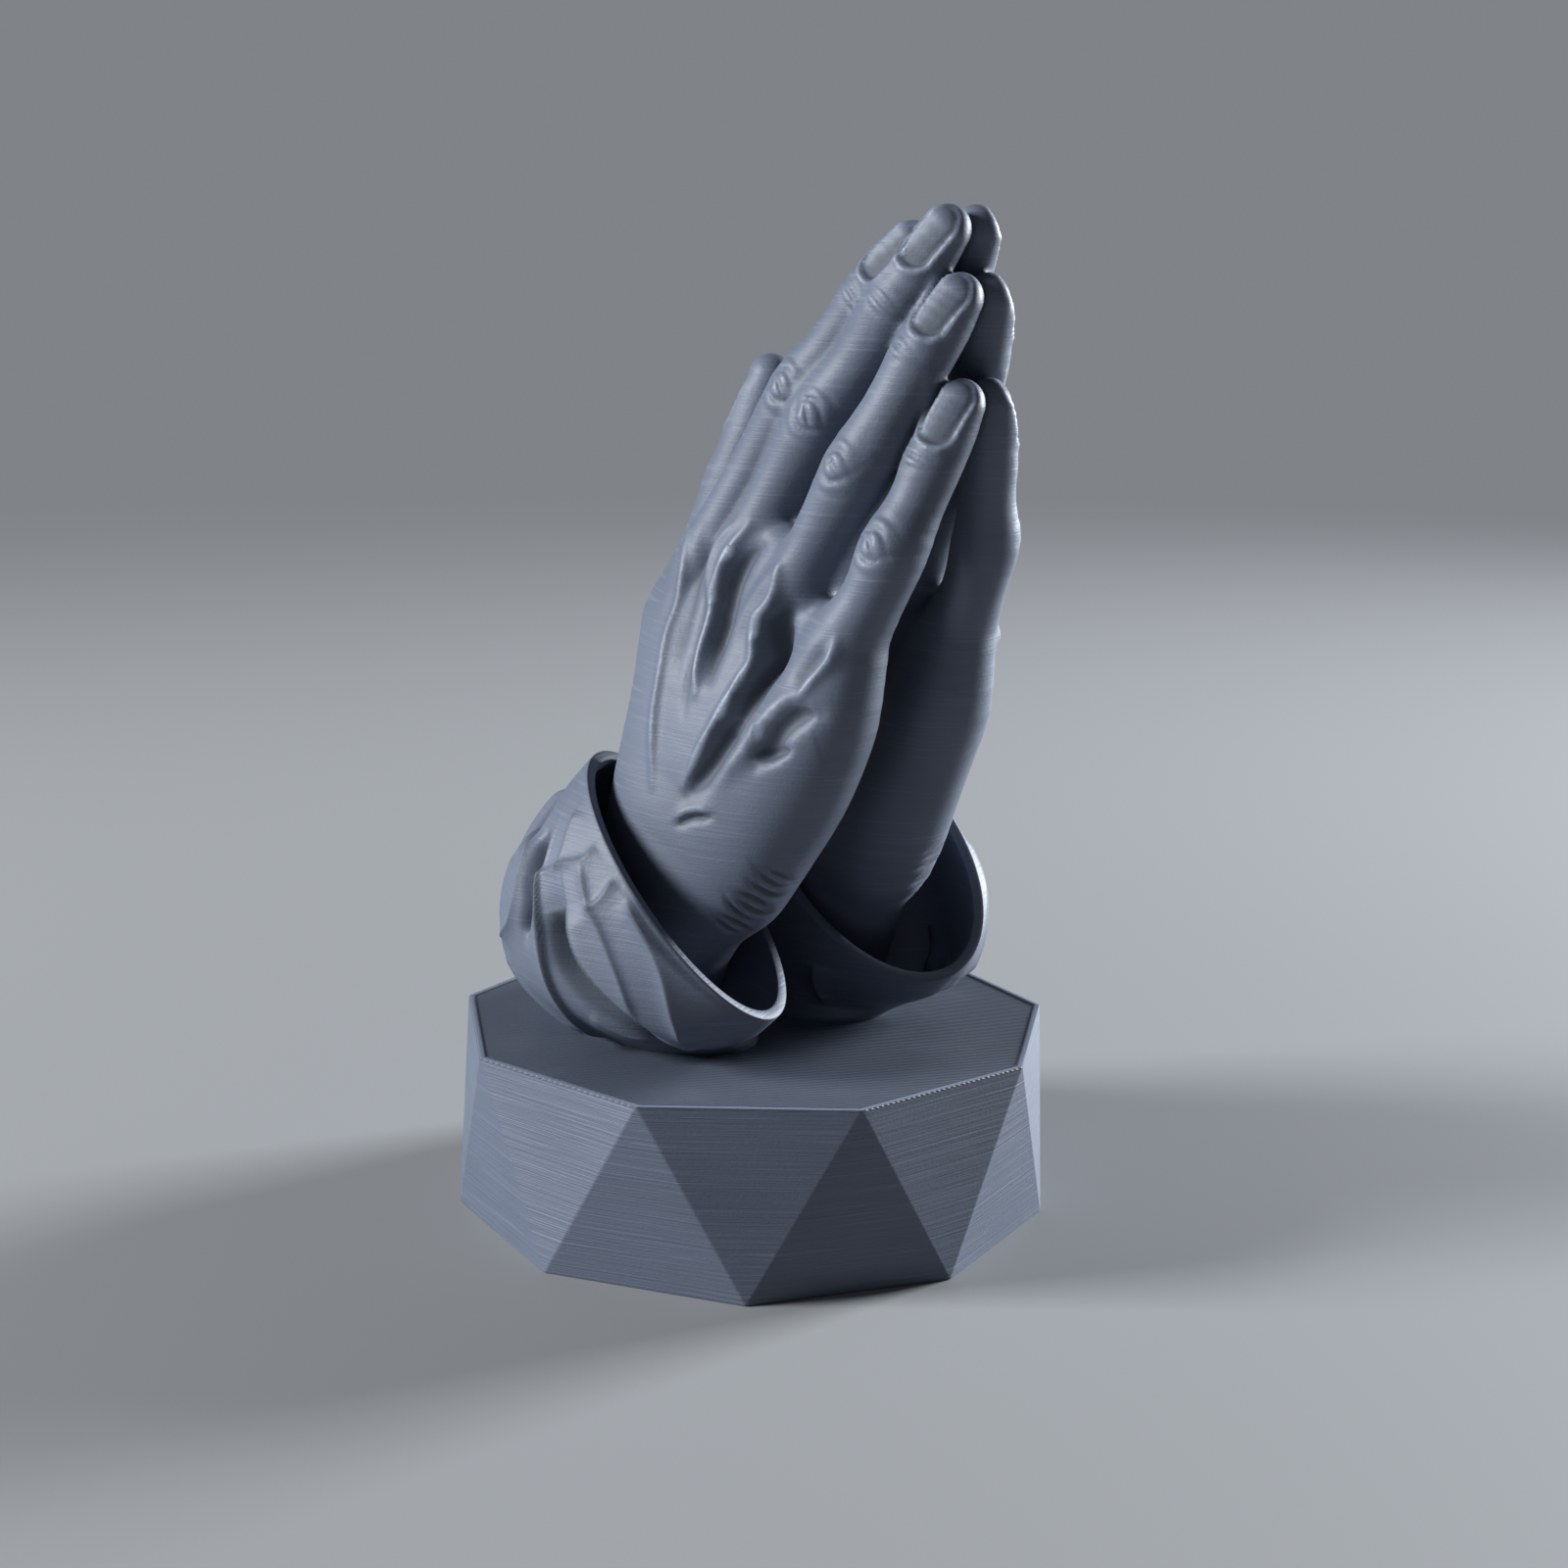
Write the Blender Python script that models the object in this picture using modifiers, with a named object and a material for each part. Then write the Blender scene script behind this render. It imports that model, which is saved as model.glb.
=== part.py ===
"""Praying hands statue: two joined hands that rise from wide sleeve cuffs on a nine-sided faceted plinth.

The statue is one printed piece. Its origin is the centre of the plinth's underside, +Z is up, the
palms meet on the plane X = 0 and the fingers lean towards -Y. The right hand is on the -X side, and
the left hand is its mirror image. All lengths are in metres and all angles in degrees.
"""
import math
from collections import namedtuple

import bmesh
import bpy
import numpy as np
from mathutils import Vector

# Plinth: a nine-sided drum whose top ring is turned by half a side, so its flank is a band of triangles.
PLINTH_SIDES = 9
PLINTH_FOOT_RADIUS = 0.0375
PLINTH_TOP_RADIUS = 0.0378
PLINTH_HEIGHT = 0.0234

# Hand: every limb is a chain of bones from its root, each with a length and a forward lean.
# stand_off is the distance of each joint from the palm plane. half_width is the flesh on either side of
# the joint along the palm, and half_depth the flesh across it.
WRIST_Z = 0.0470
HAND_FORWARD = 0.0
Limb = namedtuple("Limb", "root_y root_rise bones stand_offs half_widths half_depths")
DIGITS = {
    "index": Limb(
        0.0018, 0.0035,
        [(0.0302, 6.1), (0.0257, 29.1), (0.0137, 39.4), (0.0088, 43.2)],
        [0.0140, 0.0090, 0.0055, 0.0039, 0.0026],
        [0.0056, 0.0046, 0.0040, 0.0035, 0.0028],
        [0.0054, 0.0052, 0.0040, 0.0033, 0.0025],
    ),
    "middle": Limb(
        -0.0020, 0.0025,
        [(0.0308, 10.1), (0.0233, 27.7), (0.0163, 37.0), (0.0104, 36.0)],
        [0.0138, 0.0093, 0.0061, 0.0043, 0.0026],
        [0.0058, 0.0046, 0.0040, 0.0036, 0.0028],
        [0.0054, 0.0053, 0.0041, 0.0034, 0.0025],
    ),
    "ring": Limb(
        -0.0064, 0.0010,
        [(0.0306, 18.7), (0.0205, 28.8), (0.0142, 27.3), (0.0078, 28.2)],
        [0.0134, 0.0096, 0.0076, 0.0048, 0.0026],
        [0.0056, 0.0046, 0.0040, 0.0036, 0.0028],
        [0.0052, 0.0052, 0.0041, 0.0034, 0.0026],
    ),
    "little": Limb(
        -0.0103, -0.0010,
        [(0.0329, 28.1), (0.0133, 27.7), (0.0098, 17.5), (0.0072, 17.4)],
        [0.0122, 0.0091, 0.0074, 0.0046, 0.0026],
        [0.0050, 0.0044, 0.0038, 0.0034, 0.0028],
        [0.0046, 0.0047, 0.0038, 0.0032, 0.0026],
    ),
    "thumb": Limb(
        -0.0026, 0.0060,
        [(0.0224, -18.2), (0.0189, 16.6), (0.0125, 17.7)],
        [0.0128, 0.0082, 0.0048, 0.0029],
        [0.0062, 0.0049, 0.0038, 0.0029],
        [0.0060, 0.0048, 0.0037, 0.0028],
    ),
}
# A digit is slimmer halfway along a bone than the mean of its two joints, and its last pad is fuller.
BONE_WAIST = 0.91
PAD_FULLNESS = 1.05
BODY = {
    "wrist": Limb(
        0.0040, -0.0200,
        [(0.0104, 16.7), (0.0110, 24.7), (0.0094, 17.3)],
        [0.0144, 0.0142, 0.0130, 0.0120],
        [0.0090, 0.0100, 0.0106, 0.0116],
        [0.0070, 0.0070, 0.0067, 0.0066],
    ),
    "palm": Limb(
        -0.0064, 0.0070,
        [(0.0103, 13.5), (0.0093, 13.7), (0.0052, 15.6)],
        [0.0124, 0.0112, 0.0095, 0.0089],
        [0.0114, 0.0120, 0.0120, 0.0110],
        [0.0066, 0.0060, 0.0054, 0.0048],
    ),
    "heel": Limb(
        -0.0104, 0.0,
        [(0.0085, 39.7), (0.0073, 35.0), (0.0086, 29.8), (0.0073, 15.2)],
        [0.0108, 0.0089, 0.0088, 0.0092, 0.0089],
        [0.0056, 0.0055, 0.0057, 0.0052, 0.0046],
        [0.0052, 0.0054, 0.0056, 0.0055, 0.0047],
    ),
    "thenar": Limb(
        -0.0030, 0.0070,
        [(0.0102, -12.4), (0.0105, -17.7)],
        [0.0102, 0.0084, 0.0074],
        [0.0060, 0.0056, 0.0047],
        [0.0054, 0.0050, 0.0044],
    ),
    "web": Limb(
        0.0022, 0.0270,
        [(0.0108, 21.8)],
        [0.0086, 0.0074],
        [0.0042, 0.0034],
        [0.0040, 0.0034],
    ),
}
# Reach of the rounded joint between two limbs. Digits melt together below the line of knuckles.
BODY_BLEND = 0.0045
PALM_BLEND = 0.0045
FINGER_BLEND = 0.0006
KNUCKLE_SOFTENING = 0.0100

# Sinews on the back of the hand, each with a hollow beside it: paths of (y, rise over the wrist).
Relief = namedtuple("Relief", "height half_width path")
SINEWS = [
    Relief(0.0005, 0.0011, [(-0.0012, 0.0390), (-0.0026, 0.0290), (-0.0037, 0.0184), (-0.0053, 0.0100)]),
    Relief(0.0007, 0.0012, [(-0.0120, 0.0405), (-0.0095, 0.0360), (-0.0093, 0.0290), (-0.0102, 0.0216)]),
    Relief(0.0008, 0.0012, [
        (-0.0192, 0.0370), (-0.0173, 0.0309), (-0.0172, 0.0270), (-0.0157, 0.0214), (-0.0122, 0.0141)]),
    Relief(0.0006, 0.0015, [(-0.0244, 0.0235), (-0.0210, 0.0196), (-0.0173, 0.0148), (-0.0145, 0.0115)]),
    Relief(-0.0010, 0.0015, [(-0.0135, 0.0365), (-0.0112, 0.0345), (-0.0107, 0.0300), (-0.0107, 0.0255)]),
    Relief(-0.0012, 0.0016, [
        (-0.0186, 0.0312), (-0.0183, 0.0270), (-0.0174, 0.0225), (-0.0153, 0.0166), (-0.0120, 0.0115)]),
    Relief(-0.0009, 0.0016, [(-0.0262, 0.0206), (-0.0227, 0.0194), (-0.0200, 0.0157), (-0.0175, 0.0125)]),
]
BACK_STAND_OFF = 0.0090

# Sleeve cuff: rings from the plinth to the rim. tip leans a ring to the front, roll leans it inwards.
CUFF_SEGMENTS = 44
CUFF_SPAN_STEPS = 2
CUFF_WALL = 0.0014
CUFF_DEPTH = 0.0130
CUFF_SINK = 0.0030
Ring = namedtuple("Ring", "x y z half_length half_width tip roll")
CUFF_RINGS = [
    Ring(-0.0105, 0.0072, PLINTH_HEIGHT - CUFF_SINK, 0.0165, 0.0096, 0, 0),
    Ring(-0.0112, 0.0074, PLINTH_HEIGHT, 0.0180, 0.0106, 0, 0),
    Ring(-0.0144, 0.0072, PLINTH_HEIGHT + 0.0052, 0.0196, 0.0132, 10, 4),
    Ring(-0.0160, 0.0048, PLINTH_HEIGHT + 0.0106, 0.0206, 0.0144, 22, 10),
    Ring(-0.0158, 0.0006, PLINTH_HEIGHT + 0.0156, 0.0208, 0.0142, 33, 16),
    Ring(-0.0148, -0.0048, PLINTH_HEIGHT + 0.0208, 0.0206, 0.0125, 41, 20),
]

# Folds pressed into the cuff's wall: paths of (degrees round the cuff, rings up from the lowest one).
FOLDS = [
    Relief(0.0007, 0.0013, [(292, 4.0), (281, 3.65), (272, 3.35), (264, 2.9), (256, 2.3), (250, 1.6)]),
    Relief(-0.0016, 0.0017, [(262, 3.45), (253, 3.15), (243, 2.95), (232, 2.85), (222, 2.75)]),
    Relief(0.0009, 0.0013, [(266, 3.85), (256, 3.65), (246, 3.5), (235, 3.4), (222, 3.3), (206, 2.75)]),
    Relief(0.0006, 0.0012, [(268, 4.7), (250, 4.6), (238, 4.5), (226, 4.3), (216, 3.9)]),
    Relief(-0.0007, 0.0013, [(300, 3.9), (290, 3.4), (280, 2.9), (270, 2.3)]),
]

# Skin: the field is zeroed on a grid of this pitch, remeshed on a finer one, smoothed, and thinned to
# this many triangles.
FIELD_GRID = 0.0008
FIELD_MARGIN = 0.0020
SKIN_GRID = 0.0006
SKIN_SMOOTHING_STEPS = 2
SKIN_TRIANGLES = 8400
SPAN_STEPS = 3

STATUE_COLOUR = (0.085, 0.095, 0.125, 1.0)


def clear_scene():
    for old in list(bpy.data.objects):
        bpy.data.objects.remove(old)


def new_object(name, mesh, collection):
    made = bpy.data.objects.new(name, mesh)
    collection.objects.link(made)
    return made


def evaluated_copy(source, name, collection):
    """A plain mesh object with the modifiers of source applied."""
    graph = bpy.context.evaluated_depsgraph_get()
    mesh = bpy.data.meshes.new_from_object(source.evaluated_get(graph))
    bpy.data.objects.remove(source)
    return new_object(name, mesh, collection)


def mesh_from_rings(name, rings, collection):
    """A closed skin through rings of equal point count, its first and last ring filled with a fan."""
    body = bmesh.new()
    loops = [[body.verts.new(point) for point in ring] for ring in rings]
    for lower, upper in zip(loops, loops[1:]):
        for i in range(len(lower)):
            j = (i + 1) % len(lower)
            body.faces.new((lower[i], lower[j], upper[j], upper[i]))
    for loop in (loops[0], loops[-1]):
        hub = body.verts.new(sum((v.co for v in loop), Vector()) / len(loop))
        for i in range(len(loop)):
            body.faces.new((hub, loop[i], loop[(i + 1) % len(loop)]))
    bmesh.ops.recalc_face_normals(body, faces=body.faces)
    mesh = bpy.data.meshes.new(name)
    body.to_mesh(mesh)
    body.free()
    return new_object(name, mesh, collection)


def catmull_rom(rows, steps):
    """A smooth run of rows through the given ones, with steps rows a span."""
    rows = np.asarray(rows, float)
    padded = np.vstack([2 * rows[0] - rows[1], rows, 2 * rows[-1] - rows[-2]])
    t = (np.arange(steps) / steps)[:, None]
    runs = []
    for p0, p1, p2, p3 in zip(padded, padded[1:], padded[2:], padded[3:]):
        runs.append(
            0.5 * (2 * p1 + (p2 - p0) * t + (2 * p0 - 5 * p1 + 4 * p2 - p3) * t**2
                   + (3 * p1 - p0 - 3 * p2 + p3) * t**3)
        )
    return np.vstack([*runs, rows[-1:]])


def joint_places(limb):
    """Joint centres from the root to the far end, on the right hand."""
    y, z = HAND_FORWARD + limb.root_y, WRIST_Z + limb.root_rise
    joints = [(-limb.stand_offs[0], y, z)]
    for (length, lean), stand_off in zip(limb.bones, limb.stand_offs[1:]):
        y -= length * math.sin(math.radians(lean))
        z += length * math.cos(math.radians(lean))
        joints.append((-stand_off, y, z))
    return np.array(joints)


def limb_rows(limb):
    """Rows of (x, y, z, half width, half depth): one at each joint."""
    return np.column_stack([joint_places(limb), limb.half_widths, limb.half_depths])


def digit_rows(digit):
    """The joint rows of a digit, with one more halfway along each bone."""
    joints = limb_rows(digit)
    rows = [joints[0]]
    for i, (lower, upper) in enumerate(zip(joints, joints[1:])):
        halfway = (lower + upper) / 2
        halfway[3:] *= PAD_FULLNESS if i == len(joints) - 2 else BONE_WAIST
        rows += [halfway, upper]
    return rows


def limb_field(points, rows):
    """Below zero inside a rounded limb through the rows, above zero outside, and about metres beyond."""
    rows = catmull_rom(rows, SPAN_STEPS)
    value = np.full(len(points), 1.0)
    for a, b in zip(rows, rows[1:]):
        axis = b[:3] - a[:3]
        t = np.clip((points - a[:3]) @ axis / (axis @ axis), 0, 1)
        offset = points - a[:3] - t[:, None] * axis
        wide = a[3] + (b[3] - a[3]) * t
        deep = a[4] + (b[4] - a[4]) * t
        side = np.hypot(offset[:, 1], offset[:, 2]) / wide
        value = np.minimum(value, (np.hypot(side, offset[:, 0] / deep) - 1) * deep)
    return value


def blend(a, b, reach):
    """The lower of two fields, lowered further by up to reach / 4 where they are equal."""
    near = np.maximum(reach - np.abs(a - b), 0) / reach
    return np.minimum(a, b) - near * near * reach / 4


def ramp(x, low, high):
    """0 below low, 1 above high, and an S-shaped rise between them."""
    t = np.clip((x - low) / (high - low), 0, 1)
    return t * t * (3 - 2 * t)


def distance_to_path(points, path):
    """Distance from every point to the nearest piece of a path."""
    nearest = np.full(len(points), 1.0)
    for a, b in zip(path, path[1:]):
        axis = b - a
        t = np.clip((points - a) @ axis / (axis @ axis), 0, 1)
        nearest = np.minimum(nearest, np.linalg.norm(points - a - t[:, None] * axis, axis=1))
    return nearest


def sinew_height(points):
    """Height of the sinews and hollows, seen square on to the back of the hand."""
    height = np.zeros(len(points))
    back = np.flatnonzero(points[:, 0] < -BACK_STAND_OFF)
    for relief in SINEWS:
        path = catmull_rom(np.array(relief.path) + (HAND_FORWARD, WRIST_Z), SPAN_STEPS)
        away = distance_to_path(points[back, 1:], path)
        height[back] += relief.height * np.exp(-((away / relief.half_width) ** 2))
    return height * ramp(-points[:, 0], BACK_STAND_OFF, BACK_STAND_OFF + 0.002)


def hand_field(points):
    """Field of both hands: points on the left side are looked up at their mirror image."""
    right = points * (1, 1, 1)
    right[:, 0] = -np.abs(points[:, 0])
    knuckles = [limb_rows(DIGITS[name])[1, :3] for name in ("index", "little")]
    across = (right[:, 1] - knuckles[0][1]) / (knuckles[1][1] - knuckles[0][1])
    over = right[:, 2] - knuckles[0][2] - across * (knuckles[1][2] - knuckles[0][2])
    reach = FINGER_BLEND + (PALM_BLEND - FINGER_BLEND) * (1 - ramp(over, -KNUCKLE_SOFTENING, 0.0))
    value = np.full(len(points), 1.0)
    for limb in BODY.values():
        value = blend(value, limb_field(right, limb_rows(limb)), BODY_BLEND)
    for digit in DIGITS.values():
        value = blend(value, limb_field(right, digit_rows(digit)), reach)
    return value - sinew_height(right)


def net_of_field(field, low, high, pitch):
    """A net over the field's zero: one point in every grid cell that it crosses, and one four-sided face
    round every grid edge that it crosses."""
    low = np.array(low)
    shape = np.ceil((np.array(high) - low) / pitch).astype(int) + 1
    axes = [start + pitch * np.arange(count) for start, count in zip(low, shape)]
    grid = field(np.stack(np.meshgrid(*axes, indexing="ij"), -1).reshape(-1, 3)).reshape(shape)
    inside = grid < 0
    cells, crossings = [], []
    for axis in range(3):
        step, u, v = (np.roll(np.array([1, 0, 0]), axis + k) for k in range(3))
        here = tuple(slice(0, n - s) for n, s in zip(shape, step))
        there = tuple(slice(s, n) for n, s in zip(shape, step))
        edges = np.argwhere(inside[here] != inside[there])
        edges = edges[((edges - u - v >= 0) & (edges < shape - 1)).all(axis=1)]
        near, far = grid[tuple(edges.T)], grid[tuple((edges + step).T)]
        ring = np.stack([edges - u - v, edges - v, edges, edges - u], 1)
        ring = np.where((near < 0)[:, None, None], ring, ring[:, ::-1])
        cells.append(ring.reshape(-1, 3))
        crossings.append(np.repeat(edges + (near / (near - far))[:, None] * step, 4, axis=0))
    keys = np.ravel_multi_index(np.vstack(cells).T, shape)
    corner = np.unique(keys, return_inverse=True)[1]
    crossings = np.vstack(crossings)
    count = np.bincount(corner)
    points = np.stack([np.bincount(corner, crossings[:, k]) / count for k in range(3)], 1)
    return low + points * pitch, corner.reshape(-1, 4)


def reflect(target):
    """Add the left half: a mirror image across the palm plane."""
    mirror = target.modifiers.new("reflect", "MIRROR")
    mirror.use_axis = (True, False, False)
    mirror.use_mirror_merge = False


def field_box():
    """Low and high corner of a box round both hands, a little larger than their limbs."""
    rows = np.vstack([limb_rows(limb) for limb in (*BODY.values(), *DIGITS.values())])
    reach = rows[:, 3:].max(axis=1, keepdims=True) + FIELD_MARGIN
    low, high = (rows[:, :3] - reach).min(axis=0), (rows[:, :3] + reach).max(axis=0)
    return (low[0], low[1], low[2]), (-low[0], high[1], high[2])


def make_hands(collection):
    """Both hands and wrists as one closed skin, fused where they touch."""
    points, faces = net_of_field(hand_field, *field_box(), FIELD_GRID)
    mesh = bpy.data.meshes.new("hands")
    mesh.from_pydata(points.tolist(), [], faces.tolist())
    hands = new_object("hands", mesh, collection)
    fuse = hands.modifiers.new("fuse", "REMESH")
    fuse.mode = "VOXEL"
    fuse.voxel_size = SKIN_GRID
    soften = hands.modifiers.new("soften", "SMOOTH")
    soften.factor = 0.5
    soften.iterations = SKIN_SMOOTHING_STEPS
    hands = evaluated_copy(hands, "hands", collection)
    hands.data.calc_loop_triangles()
    thin = hands.modifiers.new("thin", "DECIMATE")
    thin.ratio = SKIN_TRIANGLES / len(hands.data.loop_triangles)
    return evaluated_copy(hands, "hands", collection)


def ring_points(ring, inset=0.0, sink=0.0):
    """Points round one ring of the cuff. inset makes it smaller and sink moves it down its own axis."""
    tip, roll = math.radians(ring.tip), math.radians(ring.roll)
    length_axis = Vector((0, math.cos(tip), math.sin(tip)))
    normal = Vector((math.sin(roll), -math.sin(tip) * math.cos(roll), math.cos(tip) * math.cos(roll)))
    width_axis = length_axis.cross(normal).normalized()
    centre = Vector((ring.x, ring.y, ring.z)) - normal * sink
    points = []
    for k in range(CUFF_SEGMENTS):
        a = 2 * math.pi * k / CUFF_SEGMENTS
        points.append(
            centre + length_axis * (ring.half_length - inset) * math.cos(a)
            + width_axis * (ring.half_width - inset) * math.sin(a)
        )
    return points


def fold_path(walls, path):
    """Points of a fold in space: each is found on its ring, by its degrees round and its height in rings."""
    rings = catmull_rom(path, SPAN_STEPS)
    places = []
    for degrees, height in rings:
        row = min(height * CUFF_SPAN_STEPS, len(walls) - 1.001)
        column = degrees / 360 * CUFF_SEGMENTS
        i, j = int(row), int(column) % CUFF_SEGMENTS
        down, along = row - i, column - int(column)
        k = (j + 1) % CUFF_SEGMENTS
        lower = walls[i][j] * (1 - along) + walls[i][k] * along
        upper = walls[i + 1][j] * (1 - along) + walls[i + 1][k] * along
        places.append(lower * (1 - down) + upper * down)
    return np.array(places)


def press_folds(walls):
    """Push the wall in and out along its folds. The rim stays as it is."""
    flat = walls.reshape(-1, 3)
    outward = np.cross(np.roll(walls, -1, axis=1) - np.roll(walls, 1, axis=1), np.gradient(walls, axis=0))
    outward = outward.reshape(-1, 3)
    outward /= np.linalg.norm(outward, axis=1, keepdims=True)
    outward *= np.sign(outward[0] @ (flat[0] - walls[0].mean(axis=0)))
    height = np.zeros(len(flat))
    for fold in FOLDS:
        away = distance_to_path(flat, fold_path(walls, fold.path))
        height += fold.height * np.exp(-((away / fold.half_width) ** 2))
    height[-CUFF_SEGMENTS:] = 0
    return (flat + outward * height[:, None]).reshape(walls.shape)


def make_cuff(collection):
    """The right cuff: a thin-lipped cup on a solid foot."""
    rim = CUFF_RINGS[-1]
    walls = np.array([ring_points(Ring(*row)) for row in catmull_rom(CUFF_RINGS, CUFF_SPAN_STEPS)])
    rings = [[Vector(point) for point in ring] for ring in press_folds(walls)]
    rings.append(ring_points(rim, CUFF_WALL * 0.30, -CUFF_WALL * 0.35))
    rings.append(ring_points(rim, CUFF_WALL * 0.80, -CUFF_WALL * 0.30))
    rings.append(ring_points(rim, CUFF_WALL, 0.0002))
    rings.append(ring_points(rim, CUFF_WALL * 1.3, CUFF_DEPTH * 0.4))
    rings.append(ring_points(rim, CUFF_WALL * 2.2, CUFF_DEPTH * 0.8))
    rings.append(ring_points(rim, CUFF_WALL * 4.0, CUFF_DEPTH))
    return mesh_from_rings("cuff", rings, collection)


def make_plinth(collection):
    """The hull of two nine-sided rings, the upper one turned by half a side."""
    body = bmesh.new()
    step = 2 * math.pi / PLINTH_SIDES
    levels = ((PLINTH_FOOT_RADIUS, 0.0, 0.0), (PLINTH_TOP_RADIUS, PLINTH_HEIGHT, step / 2))
    for radius, height, turn in levels:
        for k in range(PLINTH_SIDES):
            a = turn + k * step
            body.verts.new((radius * math.sin(a), -radius * math.cos(a), height))
    bmesh.ops.convex_hull(body, input=body.verts)
    bmesh.ops.dissolve_limit(body, angle_limit=math.radians(0.5), verts=body.verts, edges=body.edges)
    mesh = bpy.data.meshes.new("plinth")
    body.to_mesh(mesh)
    body.free()
    return new_object("plinth", mesh, collection)


def add_union(target, other):
    join = target.modifiers.new("join_" + other.name, "BOOLEAN")
    join.operation = "UNION"
    join.object = other


def make_statue(statue_collection, helper_collection):
    hands = make_hands(helper_collection)
    cuffs = make_cuff(helper_collection)
    reflect(cuffs)
    cuffs = evaluated_copy(cuffs, "cuffs", helper_collection)
    statue = make_plinth(statue_collection)
    add_union(statue, cuffs)
    add_union(statue, hands)
    statue = evaluated_copy(statue, "praying_hands_statue", statue_collection)
    for helper in (cuffs, hands):
        bpy.data.objects.remove(helper)
    return statue


def finish_material(statue):
    material = bpy.data.materials.new("matte_slate_print")
    material.use_nodes = True
    shader = material.node_tree.nodes["Principled BSDF"]
    shader.inputs["Base Color"].default_value = STATUE_COLOUR
    shader.inputs["Roughness"].default_value = 0.6
    shader.inputs["Metallic"].default_value = 0.0
    statue.data.materials.clear()
    statue.data.materials.append(material)


def main():
    clear_scene()
    scene = bpy.context.scene
    statue_collection = bpy.data.collections.new("praying_hands")
    helper_collection = bpy.data.collections.new("helpers")
    scene.collection.children.link(statue_collection)
    scene.collection.children.link(helper_collection)
    statue = make_statue(statue_collection, helper_collection)
    finish_material(statue)


main()
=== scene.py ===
# %% [markdown]
# # Praying hands statue
#
# The real object is one plastic print about 125 mm tall: two joined hands that rise from wide sleeve
# cuffs on a nine-sided plinth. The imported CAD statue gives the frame, so every piece made here uses its
# place and its size: +Z up, origin under the plinth, and the palms meet on the plane X = 0.

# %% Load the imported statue
import math
import time

import bpy
import numpy as np
from mathutils import Matrix


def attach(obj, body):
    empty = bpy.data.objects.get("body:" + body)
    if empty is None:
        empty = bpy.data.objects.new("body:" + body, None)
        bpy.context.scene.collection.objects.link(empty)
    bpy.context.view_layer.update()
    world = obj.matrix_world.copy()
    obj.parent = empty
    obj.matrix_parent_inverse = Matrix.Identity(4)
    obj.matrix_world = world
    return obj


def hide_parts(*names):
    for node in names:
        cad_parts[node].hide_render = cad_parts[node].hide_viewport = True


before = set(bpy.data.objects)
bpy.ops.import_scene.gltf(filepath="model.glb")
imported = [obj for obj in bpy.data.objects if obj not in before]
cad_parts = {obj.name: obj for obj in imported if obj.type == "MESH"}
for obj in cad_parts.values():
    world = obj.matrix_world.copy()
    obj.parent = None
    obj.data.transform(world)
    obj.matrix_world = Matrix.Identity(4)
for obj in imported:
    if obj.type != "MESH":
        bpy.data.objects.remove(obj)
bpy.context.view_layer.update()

started = time.time()

# %% [markdown]
# ## Working units
#
# Shapes are worked out in millimetres, because a fold or a fingernail is easier to picture that way, and
# are turned into metres when they go into a mesh. A mesh is filled from whole arrays of numbers, which is
# far quicker than adding its points one at a time.

# %% From arrays to a mesh
MM = 0.001
NODE = "praying_hands_statue"
SLOT = "matte_slate_print"


def put_mesh(name, points, faces, smooth=True):
    """A piece of the statue from an (n, 3) array of points in mm and an (m, k) array of corner numbers."""
    mesh = bpy.data.meshes.new(name)
    mesh.vertices.add(len(points))
    mesh.vertices.foreach_set("co", (points * MM).astype(np.float32).ravel())
    mesh.loops.add(faces.size)
    mesh.loops.foreach_set("vertex_index", faces.astype(np.int32).ravel())
    mesh.polygons.add(len(faces))
    mesh.polygons.foreach_set("loop_start", np.arange(0, faces.size, faces.shape[1], dtype=np.int32))
    mesh.polygons.foreach_set("use_smooth", np.full(len(faces), smooth))
    mesh.update(calc_edges=True)
    piece = bpy.data.objects.new(name, mesh)
    bpy.context.scene.collection.objects.link(piece)
    return piece


# How much a drawn hollow counts as relief, and so as painted shade, for each mm of its depth
DEPTH_SHARE = 0.14


def mark_relief(piece, calm, worked, spread=3):
    """Store two numbers at every point for the finish. Relief is how far the point stands out from the mean
    of its neighbours, as a share of the edge length: above zero on a ridge, which gets a painted highlight,
    and below zero in a hollow, which gets painted shade. Every hollow of worked, the height of the drawn
    forms in mm, counts too. Calm says how far the piece's round surface hides the layer lines of the print."""
    mesh = piece.data
    count = len(mesh.vertices)
    ends = np.empty(len(mesh.edges) * 2, np.int32)
    mesh.edges.foreach_get("vertices", ends)
    a, b = ends.reshape(-1, 2).T
    place, normal = np.empty(count * 3), np.empty(count * 3)
    mesh.vertices.foreach_get("co", place)
    mesh.vertices.foreach_get("normal", normal)
    place, normal = place.reshape(-1, 3), normal.reshape(-1, 3)
    degree = np.maximum(np.bincount(a, minlength=count) + np.bincount(b, minlength=count), 1)

    def mean_of_neighbours(values):
        return (np.bincount(a, values[b], count) + np.bincount(b, values[a], count)) / degree

    around = np.stack([mean_of_neighbours(place[:, k]) for k in range(3)], 1)
    length = np.linalg.norm(place[a] - place[b], axis=1)
    length = (np.bincount(a, length, count) + np.bincount(b, length, count)) / degree
    relief = ((place - around) * normal).sum(1) / np.maximum(length, 1e-9)
    for _ in range(spread):
        relief = 0.5 * relief + 0.5 * mean_of_neighbours(relief)
    relief += DEPTH_SHARE * np.minimum(worked, 0)
    for label, values in (("relief", relief), ("calm", np.full(count, calm))):
        attribute = mesh.attributes.new(label, "FLOAT", "POINT")
        attribute.data.foreach_set("value", values.astype(np.float32))
    print(f"{piece.name}: relief from {relief.min():.2f} to {relief.max():.2f}")


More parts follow.
